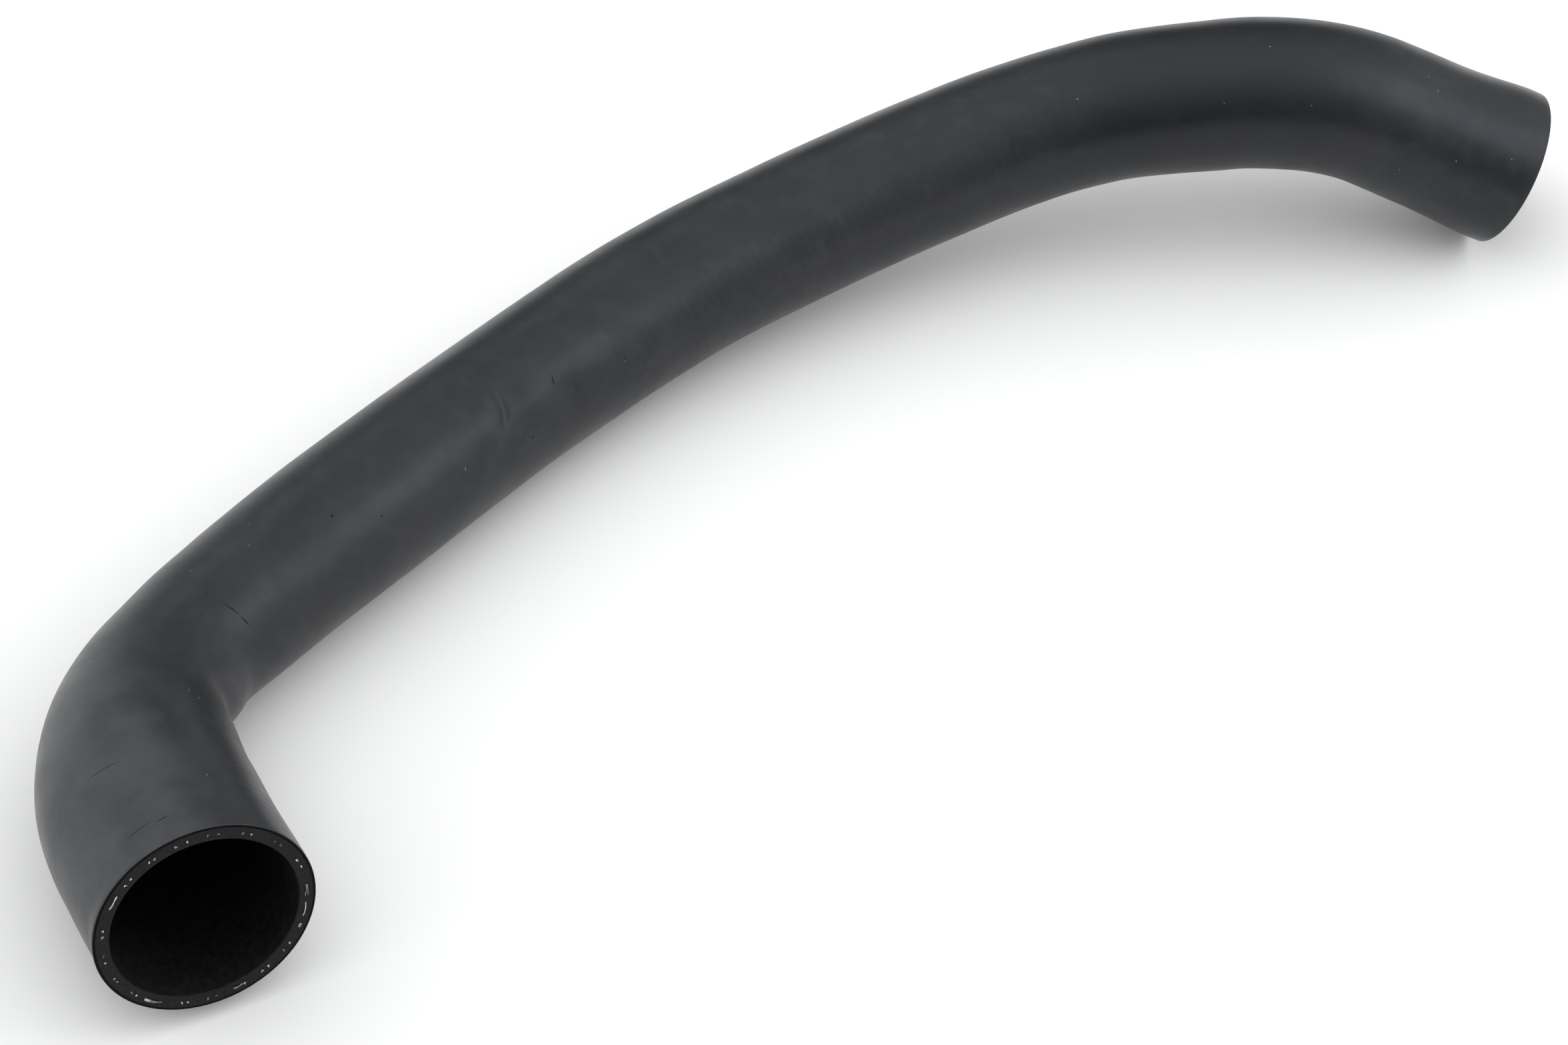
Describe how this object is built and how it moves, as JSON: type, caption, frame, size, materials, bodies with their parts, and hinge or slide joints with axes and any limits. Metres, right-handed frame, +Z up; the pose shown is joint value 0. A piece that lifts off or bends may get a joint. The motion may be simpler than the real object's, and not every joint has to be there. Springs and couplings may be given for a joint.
{
  "type": "charge air hose",
  "caption": "One-piece bent rubber hose that ducts pressurised air to an engine intake: wide arm, tight elbow, long slim run and a dipped far end, both ends plain and open.",
  "frame": {"origin": "centre of the bounding box in plan, on the floor that the hose lies on", "axes": "+Z up from the floor, +X to the right as the hose is seen, from the wide mouth towards the small one, +Y away from the viewer"},
  "size_m": [0.4142, 0.328, 0.0687],
  "materials": {
    "hose_rubber": "matt, faintly satin moulded rubber cover"
  },
  "bodies": {
    "root": {"hose": "hose_rubber"}
  },
  "joints": []
}
